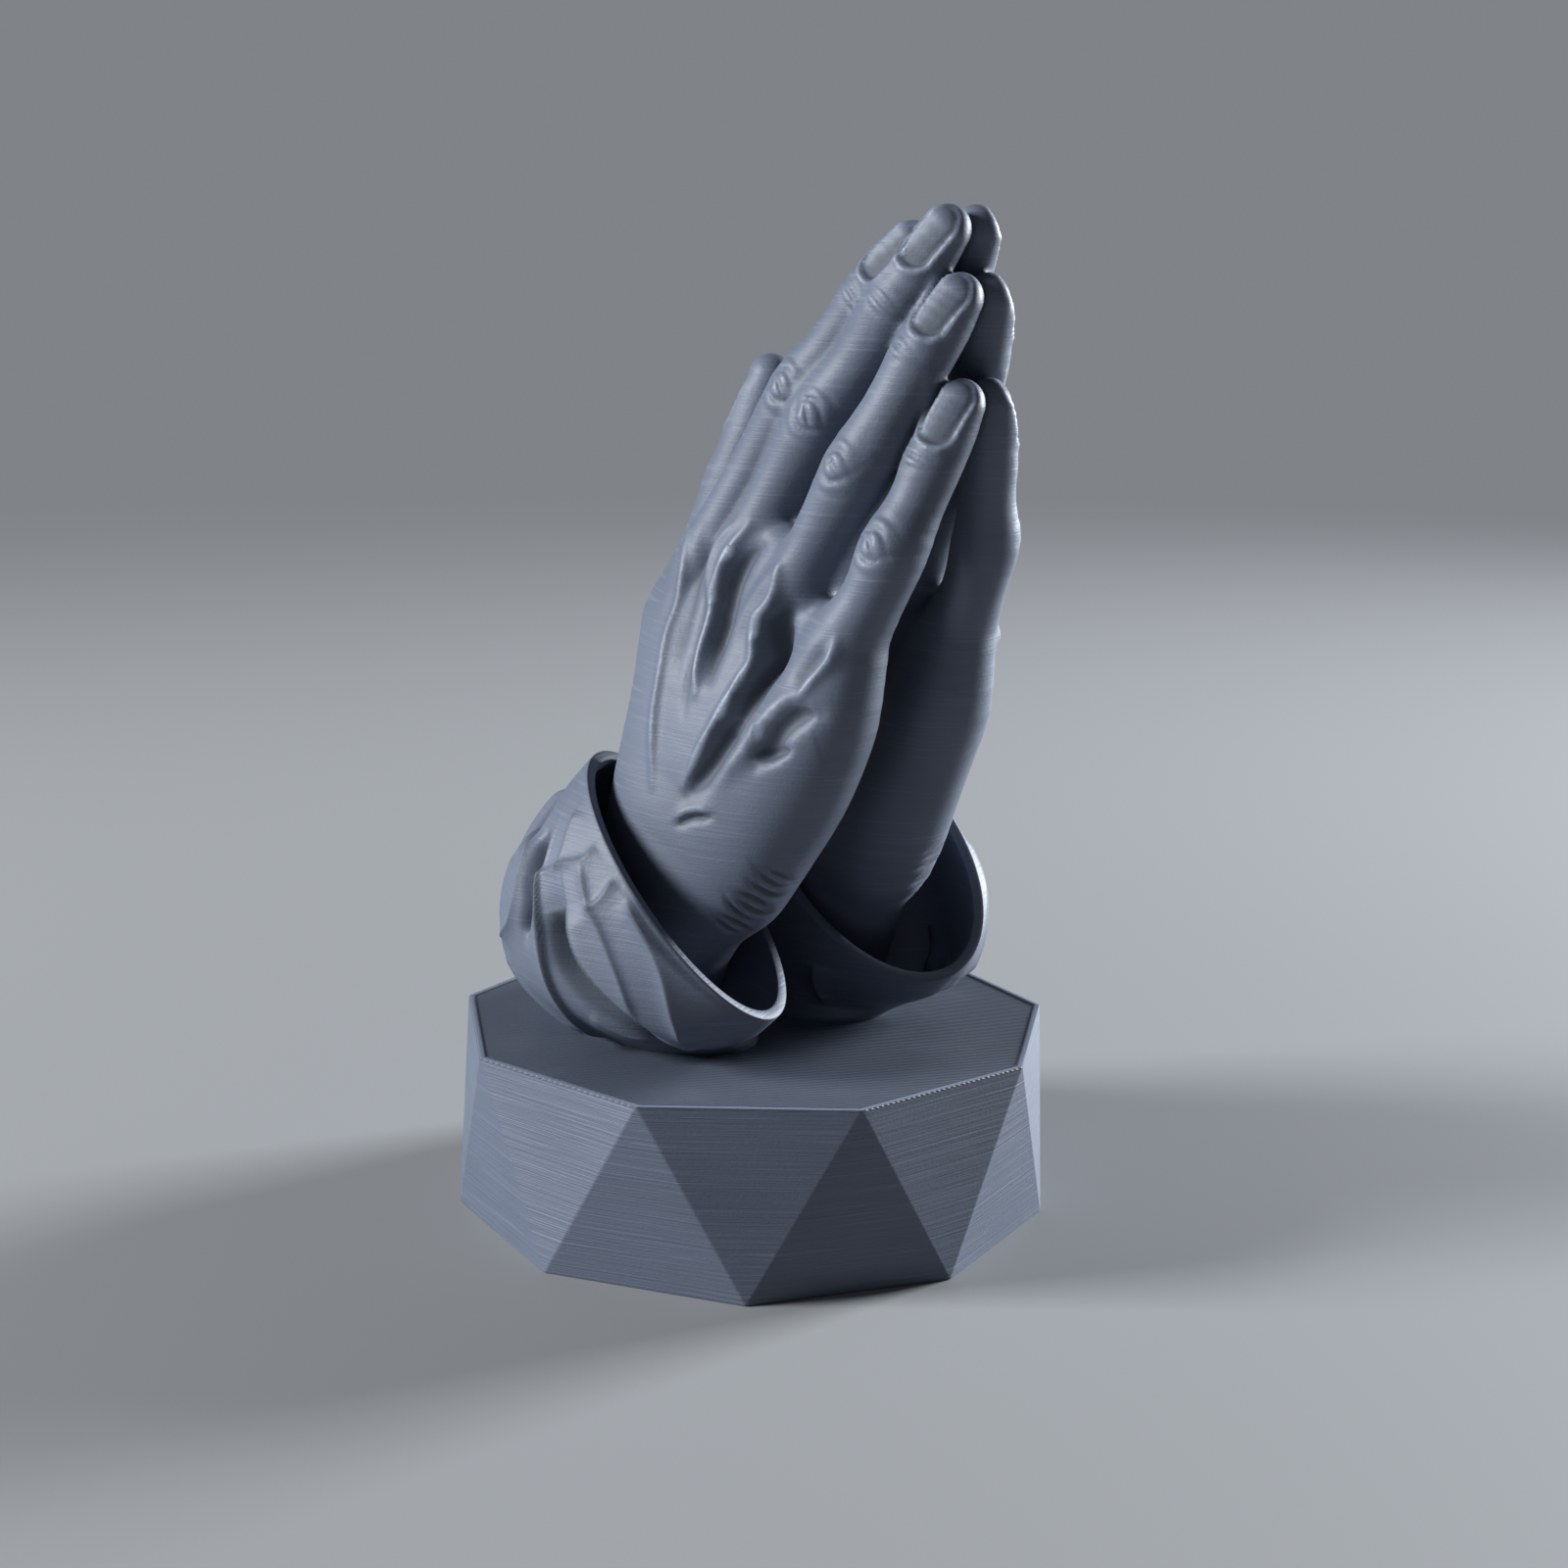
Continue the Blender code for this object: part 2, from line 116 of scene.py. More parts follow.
def dress(piece):
    """Hang a finished piece on the CAD body, in place of the plain solid."""
    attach(piece, "root")
    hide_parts(NODE)
    triangles = sum(len(p.vertices) - 2 for p in piece.data.polygons)
    print(f"{piece.name}: {triangles} triangles at {time.time() - started:.0f} s")
    return piece


# %% [markdown]
# ## How a hand is described
#
# A hand is hard to make from sheets, because fingers, knuckles and palm all melt into each other. It is
# described instead as a field: a number at every point of space, below zero inside the flesh and above
# zero outside. Two limbs are joined by taking the lower of their two numbers, and a soft joint comes from
# rounding that choice off. The skin is where the field is zero.

# %% Joining fields
# In mm: a limb's field out of its reach, and how far round the limb it is worked out
FAR = 60.0
LIMB_MARGIN = 9


def blend(a, b, reach):
    """Smooth union: the lower of two fields, lowered further by up to reach / 4 where they are equal."""
    near = np.maximum(reach - np.abs(a - b), 0) / np.maximum(reach, 1e-6)
    return np.minimum(a, b) - near * near * reach / 4


def ramp(x, low, high):
    """0 below low, 1 above high, and an S-shaped rise between them."""
    t = np.clip((x - low) / (high - low), 0, 1)
    return t * t * (3 - 2 * t)


def smooth_rows(rows, steps):
    """Catmull-Rom curve through rows of numbers, with steps rows for each span."""
    rows = np.asarray(rows, float)
    padded = np.vstack([2 * rows[0] - rows[1], rows, 2 * rows[-1] - rows[-2]])
    t = (np.arange(steps) / steps)[:, None]
    spans = [
        0.5 * (2 * b + (c - a) * t + (2 * a - 5 * b + 4 * c - d) * t**2 + (3 * b - a - 3 * c + d) * t**3)
        for a, b, c, d in zip(padded, padded[1:], padded[2:], padded[3:])
    ]
    return np.vstack([*spans, rows[-1:]])


def limb(points, stations, steps=3):
    """Field of a limb along a curved centre line. Every station is (x, y, z, half width, half thickness):
    the field is the offset from the nearest piece of the line, squashed to a unit circle, less one."""
    rows = smooth_rows(stations, steps)
    value = np.full(len(points), FAR)
    reach = rows[:, 3].max() + LIMB_MARGIN
    box = np.all((points > rows[:, :3].min(0) - reach) & (points < rows[:, :3].max(0) + reach), axis=1)
    near = points[box]
    best = np.full(len(near), FAR)
    for a, b in zip(rows, rows[1:]):
        axis = b[:3] - a[:3]
        t = np.clip((near - a[:3]) @ axis / (axis @ axis), 0, 1)
        offset = near - a[:3] - t[:, None] * axis
        wide = a[3] + (b[3] - a[3]) * t
        thick = a[4] + (b[4] - a[4]) * t
        side = np.hypot(offset[:, 1], offset[:, 2]) / wide
        best = np.minimum(best, (np.hypot(side, offset[:, 0] / thick) - 1) * thick)
    value[box] = best
    return value


# %% [markdown]
# ## The bones of the right hand
#
# Each digit is a row of stations from the wrist to the fingertip. The fingers lean forwards and the
# fingertips meet the other hand at X = 0, while the knuckles stand off it, so the palms are hollow
# between them. The left hand is the mirror image, so only the right one is described.

# %% Stations of the digits
DIGITS = {
    "index": [
        (-14.0, 1.8, 50.5, 5.6, 5.4), (-11.8, 0.2, 66.0, 4.8, 5.0), (-9.0, -1.4, 80.5, 4.6, 5.2),
        (-7.0, -7.6, 93.2, 3.6, 4.1), (-5.5, -13.9, 103.0, 4.2, 4.2), (-4.6, -18.6, 108.9, 3.3, 3.4),
        (-3.9, -22.6, 113.6, 3.5, 3.3), (-3.3, -25.9, 117.1, 3.3, 3.0), (-2.6, -28.6, 120.0, 2.8, 2.5),
    ],
    "middle": [
        (-13.8, -2.0, 49.5, 5.8, 5.4), (-12.2, -4.4, 66.0, 5.0, 5.0), (-9.3, -7.4, 79.8, 4.6, 5.3),
        (-7.5, -12.6, 91.0, 3.6, 4.2), (-6.1, -18.2, 100.4, 4.2, 4.3), (-5.0, -23.4, 107.2, 3.4, 3.5),
        (-4.5, -28.0, 113.4, 3.6, 3.4), (-3.5, -31.3, 117.9, 3.3, 3.0), (-2.6, -34.1, 121.8, 2.8, 2.5),
    ],
    "ring": [
        (-13.4, -6.4, 48.0, 5.6, 5.2), (-12.2, -11.2, 63.0, 5.0, 4.9), (-9.6, -16.2, 77.0, 4.6, 5.2),
        (-8.4, -21.2, 86.8, 3.6, 4.2), (-7.6, -26.1, 95.0, 4.2, 4.3), (-6.3, -29.8, 101.8, 3.5, 3.5),
        (-4.8, -32.6, 107.6, 3.6, 3.4), (-3.5, -34.8, 111.6, 3.3, 3.1), (-2.6, -36.3, 114.5, 2.8, 2.6),
    ],
    "little": [
        (-12.2, -10.3, 46.0, 5.0, 4.6), (-10.9, -18.2, 61.0, 4.9, 4.8), (-9.1, -25.8, 75.0, 4.4, 4.7),
        (-8.2, -29.6, 81.2, 3.5, 4.0), (-7.4, -32.0, 86.8, 3.9, 3.9), (-5.9, -33.7, 91.8, 3.2, 3.3),
        (-4.6, -34.9, 96.3, 3.4, 3.2), (-3.4, -36.2, 100.3, 3.2, 3.0), (-2.6, -37.1, 103.1, 2.8, 2.6),
    ],
    "thumb": [
        (-12.8, -2.6, 53.0, 6.2, 6.0), (-10.4, -0.2, 64.0, 5.2, 5.2), (-8.2, 4.4, 74.3, 4.9, 4.8),
        (-6.2, 2.2, 83.5, 3.8, 3.9), (-4.8, -1.0, 92.4, 3.8, 3.7), (-3.6, -3.4, 99.5, 3.4, 3.3),
        (-2.9, -4.8, 104.3, 2.9, 2.8),
    ],
}

# %% Stations of the palm and wrist
WRIST = [
    (-14.4, 4.2, 27.0, 9.6, 7.4), (-14.3, 1.3, 37.0, 10.6, 7.6), (-13.1, -3.4, 47.0, 10.9, 7.1),
    (-12.0, -6.4, 56.0, 11.6, 6.6),
]
PALM = [
    (-12.4, -6.4, 54.0, 11.4, 6.6), (-11.2, -8.8, 64.0, 12.0, 6.0), (-9.5, -11.0, 73.0, 12.0, 5.4),
    (-8.9, -12.4, 78.0, 11.0, 4.8),
]
HEEL = [
    (-10.8, -10.4, 47.0, 5.6, 5.2), (-8.9, -15.8, 53.5, 5.5, 5.4), (-8.8, -20.0, 59.5, 5.7, 5.6),
    (-9.2, -24.3, 67.0, 5.2, 5.5), (-8.9, -26.2, 74.0, 4.6, 4.7),
]
THENAR = [(-10.2, -3.0, 54.0, 6.0, 5.4), (-8.4, -0.8, 64.0, 5.6, 5.0), (-7.4, 2.4, 74.0, 4.7, 4.4)]
WEB = [(-8.6, 2.2, 74.0, 4.2, 4.0), (-7.4, -1.8, 84.0, 3.4, 3.4)]
# (y, z) at the two ends of the row of knuckles
KNUCKLE_LINE = ((-0.5, 82.0), (-26.0, 73.0))


def above_knuckles(points):
    """Height over the sloping line of knuckles, in mm."""
    (y0, z0), (y1, z1) = KNUCKLE_LINE
    return points[:, 2] - z0 - (points[:, 1] - y0) * (z1 - z0) / (y1 - y0)


def flesh(points):
    """Field of the plain right hand. Fingers blend softly below the knuckles and crease above them."""
    softness = 0.9 + 3.6 * (1 - ramp(above_knuckles(points), -9, 1))
    value = blend(limb(points, WRIST), limb(points, PALM), 6.0)
    value = blend(value, limb(points, HEEL), 4.0)
    value = blend(value, limb(points, THENAR), 4.0)
    for stations in DIGITS.values():
        value = blend(value, limb(points, stations), softness)
    return blend(value, limb(points, WEB), 3.0)


# %% [markdown]
# ## Lines drawn on the back of the hand
#
# Sinews, veins and hollows give an old hand its look. Each one is drawn like a roll of clay on a sheet
# held against the back of the hand, so a point of the line is just (y, z). A positive height raises a
# ridge and a negative one presses a hollow. Adding height to the flesh is simply subtracting it from the
# field.

# %% Sinews, veins and hollows
# name: (height, reach across, path of (y, z)), all in mm
LINES = {
    "index_edge": (0.55, 0.8, [
        (-1.2, 86.0), (-2.2, 82.3), (-2.4, 79.1), (-2.7, 74.8), (-3.3, 71.4), (-3.7, 65.4), (-4.4, 61.5),
        (-5.3, 57.0)]),
    "index_hollow": (-0.40, 1.1, [(-4.6, 86.4), (-4.9, 83.6), (-5.2, 80.4), (-5.6, 76.0), (-6.2, 70.0)]),
    "middle_fork": (0.50, 0.8, [(-10.1, 88.0), (-8.3, 86.6), (-7.2, 84.8), (-7.5, 82.3), (-8.6, 79.0)]),
    "middle_sinew": (0.80, 0.9, [
        (-12.3, 87.9), (-10.7, 85.6), (-9.5, 83.0), (-9.3, 80.7), (-9.3, 78.2), (-9.2, 75.9), (-9.2, 73.6),
        (-9.6, 71.1), (-10.2, 68.6)]),
    "middle_hollow": (-1.15, 1.35, [
        (-14.4, 85.6), (-12.6, 83.6), (-11.6, 81.4), (-11.3, 78.6), (-11.2, 75.6), (-11.3, 73.0),
        (-11.8, 70.4)]),
    "ring_sinew": (0.90, 0.9, [
        (-19.2, 84.0), (-19.3, 81.8), (-18.6, 79.7), (-17.3, 77.9), (-17.2, 75.7), (-17.5, 73.1),
        (-16.5, 70.5), (-15.7, 68.4), (-14.7, 66.3), (-13.6, 64.0), (-12.2, 61.1), (-10.5, 57.7)]),
    "ring_hollow": (-1.25, 1.4, [
        (-20.4, 79.6), (-19.3, 77.6), (-19.2, 75.4), (-19.4, 73.2), (-18.4, 70.8), (-17.8, 68.4),
        (-17.2, 66.0)]),
    "ring_trough": (-1.10, 1.5, [
        (-16.8, 66.2), (-15.7, 63.6), (-14.2, 61.0), (-12.6, 58.8), (-11.0, 57.0)]),
    "ring_vein": (0.45, 1.2, [(-19.1, 83.9), (-17.6, 82.2), (-15.7, 80.0), (-14.5, 77.6), (-13.9, 75.3)]),
    "little_vein": (0.60, 0.8, [(-28.9, 76.7), (-28.6, 74.8), (-27.6, 73.4), (-26.2, 71.7), (-25.2, 69.9)]),
    "little_dip": (-0.40, 1.0, [(-27.6, 76.0), (-26.6, 74.2), (-25.2, 72.4), (-23.8, 70.8)]),
    "little_sinew": (0.60, 1.5, [
        (-24.4, 70.5), (-22.6, 68.6), (-21.0, 66.6), (-19.3, 64.3), (-17.3, 61.8), (-15.2, 59.2)]),
    "little_hollow": (-1.15, 1.4, [
        (-27.0, 68.2), (-24.9, 67.6), (-23.1, 66.0), (-21.7, 63.8), (-19.9, 61.6)]),
    "heel_crease": (-0.50, 0.6, [(-19.7, 62.4), (-21.8, 62.8), (-24.3, 63.8)]),
    "wrist_ridge": (0.35, 0.7, [(-14.6, 55.5), (-11.9, 55.1), (-9.5, 53.9)]),
    "wrist_crease": (-0.55, 0.55, [(-14.4, 54.6), (-11.9, 54.1), (-9.7, 53.0)]),
    "long_groove": (-0.30, 0.8, [(-7.2, 80.5), (-7.9, 76.0), (-8.2, 71.2), (-8.8, 65.8)]),
}
# The lines reach no further inwards than this X, and lie between these heights
BACK_OF_HAND = -9.0
LINES_FROM, LINES_TO = 50, 92


def stroke_distance(points, path):
    """Distance from each point to a path, how far along the path the nearest place is, from 0 to 1, and
    the number of the path's span that it lies on."""
    nearest, along = np.full(len(points), FAR), np.zeros(len(points))
    span = np.zeros(len(points), int)
    lengths = np.linalg.norm(np.diff(path, axis=0), axis=1)
    walked = np.concatenate([[0], np.cumsum(lengths)])
    for number, (a, b, length, start) in enumerate(zip(path, path[1:], lengths, walked)):
        ahead = (b - a) / length
        t = np.clip((points - a) @ ahead, 0, length)
        distance = np.linalg.norm(points - a - t[:, None] * ahead, axis=1)
        closer = distance < nearest
        nearest[closer], along[closer] = distance[closer], (start + t)[closer] / walked[-1]
        span[closer] = number
    return nearest, along, span


def drawn_lines(points):
    """Height of the drawn lines: a bell over the distance from each path, thinning towards both ends."""
    height = np.zeros(len(points))
    level = (points[:, 2] > LINES_FROM) & (points[:, 2] < LINES_TO)
    back = np.flatnonzero((points[:, 0] < BACK_OF_HAND + 2) & level)
    sheet = points[back, 1:]
    for rise, reach, path in LINES.values():
        nearest, along, _ = stroke_distance(sheet, smooth_rows(path, 4))
        body = ramp(along, -0.15, 0.25) * (1 - ramp(along, 0.75, 1.15))
        height[back] += rise * body * np.exp(-((nearest / (reach * (0.6 + 0.4 * body))) ** 2))
    return height * (1 - ramp(points[:, 0], BACK_OF_HAND, BACK_OF_HAND + 2))


# %% [markdown]
# ## Knuckles, fingernails and wrinkles
#
# Each is shaped in its own little frame, laid on the skin: t runs towards the fingertip, w across the
# finger and n out of the skin. The frame is found from a spot near the skin and the field's own slope.

# %% Frames on the skin
# Spots near the knuckle, the last joint and the nail of each finger
FINGER_SPOTS = {
    "index": ((-8.9, -14.4, 103.9), (-6.9, -23.4, 114.6), (-5.5, -27.5, 119.7)),
    "middle": ((-9.2, -19.6, 101.1), (-7.0, -28.8, 113.9), (-5.3, -33.5, 121.3)),
    "ring": ((-10.2, -26.4, 95.6), (-7.0, -32.4, 108.7), (-5.4, -36.2, 114.1)),
    "little": ((-10.8, -32.4, 87.6), (-7.2, -34.9, 97.3), (-5.1, -37.3, 102.5)),
}
# The thumb's joint and nail and the outer edge of the wrist: a spot near the skin and the direction of t
OTHER_SPOTS = [
    ("joint", (-6.0, 2.6, 93.0), (1.2, -3.4, 8.9)),
    ("nail", (-3.9, -1.6, 101.6), (0.7, -1.4, 4.8)),
    ("wrinkles", (-14.4, -17.0, 43.9), (1.9, -4.6, 5.5)),
]


def slope_of(field, points, step=0.2):
    """Slope of a field by central differences."""
    return np.stack([
        (field(points + np.eye(3)[k] * step) - field(points - np.eye(3)[k] * step)) / (2 * step)
        for k in range(3)
    ], 1)


def skin_frame(spot, towards):
    """Origin on the skin nearest to spot, and rows t, w, n."""
    origin = np.array([spot], float)
    for _ in range(6):
        slope = slope_of(flesh, origin)
        origin = origin - slope * (flesh(origin) / (slope**2).sum(1))[:, None]
    n = slope_of(flesh, origin)[0]
    n /= np.linalg.norm(n)
    t = np.asarray(towards, float)
    t = t - n * (t @ n)
    t /= np.linalg.norm(t)
    return origin[0], np.stack([t, np.cross(n, t), n])


# How far each knuckle's pattern is turned on its finger
KNUCKLE_TURN = {"index": 0.35, "middle": -0.25, "ring": 0.5, "little": -0.1}
FRAMES = []
for finger, (knuckle_spot, joint_spot, nail_spot) in FINGER_SPOTS.items():
    line = np.array(DIGITS[finger])[:, :3]
    turned = KNUCKLE_TURN[finger] * np.array((0, 8.0, 6.0))
    FRAMES.append(("knuckle", skin_frame(knuckle_spot, line[5] - line[3] + turned)))
    FRAMES.append(("joint", skin_frame(joint_spot, line[7] - line[5])))
    FRAMES.append(("nail", skin_frame(nail_spot, line[8] - line[6])))
for kind, spot, towards in OTHER_SPOTS:
    FRAMES.append((kind, skin_frame(spot, towards)))


def bell(x, width):
    """1 at x = 0, falling to nearly 0 at twice the width."""
    return np.exp(-((x / width) ** 2))


def knuckle(t, w):
    """A swelling crossed by two bowed creases, like brackets round a lens of loose skin, with one slanting
    crease through the lens, a pit beside it and a fainter crease beyond each bracket."""
    swelling = 0.62 * bell(t, 3.0) * bell(w, 2.5)
    upper = 0.40 * bell(t - 1.75 + 0.30 * w**2, 0.40) * bell(w - 0.3, 1.7)
    lower = 0.46 * bell(t + 1.65 - 0.26 * w**2, 0.42) * bell(w + 0.2, 1.9)
    slant = 0.34 * bell(t - 0.1 - 0.7 * w, 0.36) * bell(w, 1.15)
    pit = 0.30 * bell(t + 0.5, 0.7) * bell(w - 1.6, 0.6)
    beyond = 0.15 * bell(np.abs(t) - 3.4 + 0.12 * w**2, 0.4) * bell(w, 2.0)
    return swelling - upper - lower - slant - pit - beyond


def joint(t, w):
    """Three shallow creases across the last joint, on a slight swelling."""
    creases = sum(
        depth * bell(t - at - bow * w**2, 0.32) * bell(w, 2.1)
        for at, bow, depth in ((-1.2, 0.09, 0.22), (0.1, 0.0, 0.32), (1.3, -0.10, 0.20))
    )
    return 0.36 * bell(t, 1.9) * bell(w, 3.0) - creases


def nail(t, w):
    """A plate with rounded corners let into the fingertip. It is flatter than the tip and tilted across it,
    with a groove round it and a soft fold of skin outside. d is the distance from its outline, below zero
    on the plate."""
    half_length, half_width, corner = 3.9, 2.05, 1.85
    a, b = np.abs(t) - half_length + corner, np.abs(w) - half_width + corner
    d = np.hypot(np.maximum(a, 0), np.maximum(b, 0)) + np.minimum(np.maximum(a, b), 0) - corner
    on_plate = 1 - ramp(d, -0.35, 0.10)
    plate = on_plate * (0.11 * w**2 + 0.17 * w - 0.42 + 0.12 * ramp(t, -2.5, 3.5))
    groove = 0.24 * bell(d, 0.26) * (1 - 0.7 * ramp(t, 1.8, 3.4))
    fold = 0.22 * bell(d - 0.62, 0.42) * (1 - ramp(t, 1.5, 3.6))
    return plate + fold - groove


def wrinkles(t, w):
    """Short bowed creases stacked down the outer edge of the wrist."""
    creases = (
        (-5.0, 0.05, 0.4, 0.33), (-3.6, -0.06, -0.3, 0.51), (-2.3, 0.08, 0.6, 0.45),
        (-0.9, 0.03, -0.5, 0.57), (0.6, -0.07, 0.3, 0.45), (2.0, 0.04, -0.2, 0.54),
        (3.5, 0.06, 0.4, 0.39), (4.9, -0.03, 0.0, 0.30),
    )
    return -sum(
        depth * bell(t - at - bow * w**2 - 0.1 * w, 0.42) * bell(w - aside, 2.1)
        for at, bow, aside, depth in creases
    )


FORMS = {"knuckle": knuckle, "joint": joint, "nail": nail, "wrinkles": wrinkles}
# Half sizes along t, w and n of the box that each form is kept to
FORM_BOX = (6.5, 4.5, 4.5)


def finger_forms(points):
    """Height of every knuckle, joint, nail and wrinkle, each kept to the skin round its own frame."""
    height = np.zeros(len(points))
    for kind, (origin, axes) in FRAMES:
        local = (points - origin) @ axes.T
        close = np.flatnonzero((np.abs(local) < FORM_BOX).all(1))
        t, w, n = local[close].T
        height[close] += FORMS[kind](t, w) * (1 - ramp(-n, 2.2, 3.6))
    return height


# %% [markdown]
# ## From field to skin
#
# The field is sampled on a grid. Every grid cell that the skin passes through gets one point, in the
# middle of the places where the skin crosses the cell's edges, and every crossed edge gets one face
# between the four cells round it. The points are then evened out and slid along the field's slope, a few
# times over, until they lie on the skin, so shapes finer than the grid still come out smooth.

# %% Finding the skin
# In mm: how far each palm's flat reaches past the middle plane, how far the rounding of its edge reaches,
# and how far the hand is pressed against the other one
PALM_PLANE_OVERLAP = 0.06
PALM_EDGE_SOFTNESS = 0.5
PRESS = np.array((0.35, 0.0, 0.0))


def right_hand(points):
    """Field of the finished right hand, pressed against the other one and cut flat where they meet. Cutting
    is blending turned inside out, so the edge of the flat is rounded."""
    loose = points - PRESS
    worked = flesh(loose) - drawn_lines(loose) - finger_forms(loose)
    return -blend(-worked, PALM_PLANE_OVERLAP - points[:, 0], PALM_EDGE_SOFTNESS)


def sample(field, low, shape, pitch):
    """The field on a grid: worked out on a coarse grid first, and finely only near the skin."""
    coarse = 4
    few = [math.ceil(n / coarse) + 1 for n in shape]
    axes = [l + pitch * coarse * np.arange(n) for l, n in zip(low, few)]
    rough = field(np.stack(np.meshgrid(*axes, indexing="ij"), -1).reshape(-1, 3)).reshape(few)
    full = rough
    for axis in range(3):
        full = np.repeat(full, coarse, axis=axis)
    offset = coarse // 2
    full = np.pad(full, ((offset, 0),) * 3, mode="edge")
    full = full[: shape[0], : shape[1], : shape[2]].copy()
    close = np.argwhere(np.abs(full) < pitch * coarse * 1.6)
    full[tuple(close.T)] = field(low + close * pitch)
    return full


def skin(field, low, high, pitch, polish=4, nudge=0.04):
    """Points and four-cornered faces of the field's zero surface inside a box."""
    low = np.asarray(low, float)
    shape = np.ceil((np.asarray(high) - low) / pitch).astype(int) + 1
    grid = sample(field, low, shape, pitch)
    inside = grid < 0
    cells, crossings = [], []
    for axis in range(3):
        step = np.eye(3, dtype=int)[axis]
        u, v = np.eye(3, dtype=int)[(axis + 1) % 3], np.eye(3, dtype=int)[(axis + 2) % 3]
        here = tuple(slice(0, n - s) for n, s in zip(shape, step))
        there = tuple(slice(s, n) for n, s in zip(shape, step))
        edges = np.argwhere(inside[here] != inside[there])
        edges = edges[np.all(edges + 1 - step > 0, axis=1) & np.all(edges < shape - 1, axis=1)]
        edges = edges[np.all((edges - u - v) >= 0, axis=1)]
        a = grid[tuple(edges.T)]
        b = grid[tuple((edges + step).T)]
        crossing = edges + (a / (a - b))[:, None] * step
        ring = np.stack([edges - u - v, edges - v, edges, edges - u], 1)
        ring = np.where((a < 0)[:, None, None], ring, ring[:, ::-1])
        cells.append(ring.reshape(-1, 3))
        crossings.append(np.repeat(crossing, 4, axis=0))
    cells, crossings = np.vstack(cells), np.vstack(crossings)
    keys = np.ravel_multi_index(cells.T, shape)
    used, corner = np.unique(keys, return_inverse=True)
    count = np.bincount(corner)
    points = np.stack([np.bincount(corner, crossings[:, k]) / count for k in range(3)], 1)
    points, faces = low + points * pitch, corner.reshape(-1, 4)
    a, b = faces.ravel(), np.roll(faces, -1, axis=1).ravel()
    links = (np.bincount(a) + np.bincount(b))[:, None]
    for _ in range(polish):
        sums = [np.bincount(a, points[b, k]) + np.bincount(b, points[a, k]) for k in range(3)]
        points = 0.5 * points + 0.5 * np.stack(sums, 1) / links
        value = field(points)
        slope = np.stack([field(points + np.eye(3)[k] * nudge) - value for k in range(3)], 1) / nudge
        move = slope * (value / np.maximum((slope**2).sum(1), 0.3))[:, None]
        size = np.linalg.norm(move, axis=1, keepdims=True)
        points = points - move * np.minimum(1, 0.6 * pitch / np.maximum(size, 1e-9))
    return points, faces


# %% Make both hands
HAND_LOW, HAND_HIGH = (-28.0, -44.0, 16.0), (1.0, 22.0, 127.0)
PITCH = 0.4
# How far the round skin of the hands and cuffs hides the print's layer lines
HAND_CALM, CUFF_CALM = 0.75, 0.5

hand_points, hand_faces = skin(right_hand, HAND_LOW + PRESS, HAND_HIGH, PITCH)
hands = []
# Nails and creases are shallow but get as much painted shade as a deep hollow does
hand_lines = drawn_lines(hand_points - PRESS) + 2 * finger_forms(hand_points - PRESS)
for name, mirror in (("right_hand", 1), ("left_hand", -1)):
    faces = hand_faces[:, ::mirror]
    hands.append(dress(put_mesh(name, hand_points * (mirror, 1, 1), faces)))
    mark_relief(hands[-1], HAND_CALM, hand_lines)

# %% [markdown]
# ## The sleeve cuffs
#
# A cuff is a cup of stiff cloth round the wrist: a wall that leans out from the plinth, a thin rim that
# slopes down to the front, and a hollow inside. It is one sheet over two parameters: how far round, and
# how far along a path that climbs the outside, turns over the rim and goes down the inside.

# %% Rings of the right cuff
PLINTH_TOP = 23.4
CUFF_WALL = 1.4
# x, y, z, half length and half width in mm, forward tip and inward roll in degrees
CUFF_RINGS = [
    (-10.5, 7.2, PLINTH_TOP - 1.0, 16.8, 9.8, 0, 0),
    (-11.2, 7.4, PLINTH_TOP + 0.3, 18.0, 10.6, 0, 0),
    (-14.4, 7.2, PLINTH_TOP + 5.2, 19.6, 13.2, 10, 4),
    (-16.0, 4.8, PLINTH_TOP + 10.6, 20.6, 14.4, 22, 10),
    (-15.8, 0.6, PLINTH_TOP + 15.6, 20.8, 14.2, 33, 16),
    (-14.8, -4.8, PLINTH_TOP + 20.8, 20.6, 12.5, 41, 20),
]
# Wall thicknesses to step inwards, and mm to step down from the rim
CUFF_LINING = [
    (0.08, -0.12), (0.5, -0.16), (0.92, -0.06), (1.02, 0.2), (1.1, 1.5), (1.3, 5.0), (2.4, 10.5),
    (4.5, 13.0), (8.7, 13.6),
]


def cuff_ring(rings, inset, sink, around):
    """Ellipses in tipped planes: centre + length axis * cos(angle) + width axis * sin(angle)."""
    tip, roll = np.radians(rings[:, 5]), np.radians(rings[:, 6])
    none = np.zeros_like(tip)
    along = np.stack([none, np.cos(tip), np.sin(tip)], -1)
    normal = np.stack([np.sin(roll), -np.sin(tip) * np.cos(roll), np.cos(tip) * np.cos(roll)], -1)
    across = np.cross(along, normal)
    across /= np.linalg.norm(across, axis=1, keepdims=True)
    centre = rings[:, :3] - normal * sink[:, None]
    length, width = rings[:, 3] - inset, rings[:, 4] - inset
    return (
        centre[:, None]
        + along[:, None] * (length[:, None] * np.cos(around))[..., None]
        + across[:, None] * (width[:, None] * np.sin(around))[..., None]
    )


def cuff_sheet(columns, steps):
    """The cuff as rows of rings: up the outer wall, over the rim, and down the lining."""
    around = 2 * np.pi * np.arange(columns) / columns
    wall = smooth_rows(CUFF_RINGS, steps)
    outside = cuff_ring(wall, np.zeros(len(wall)), np.zeros(len(wall)), around)
    lining = smooth_rows([(0, 0), *CUFF_LINING], 3)[1:]
    rim = np.repeat(wall[-1:], len(lining), axis=0)
    inside = cuff_ring(rim, lining[:, 0] * CUFF_WALL, lining[:, 1], around)
    return np.concatenate([outside, inside])


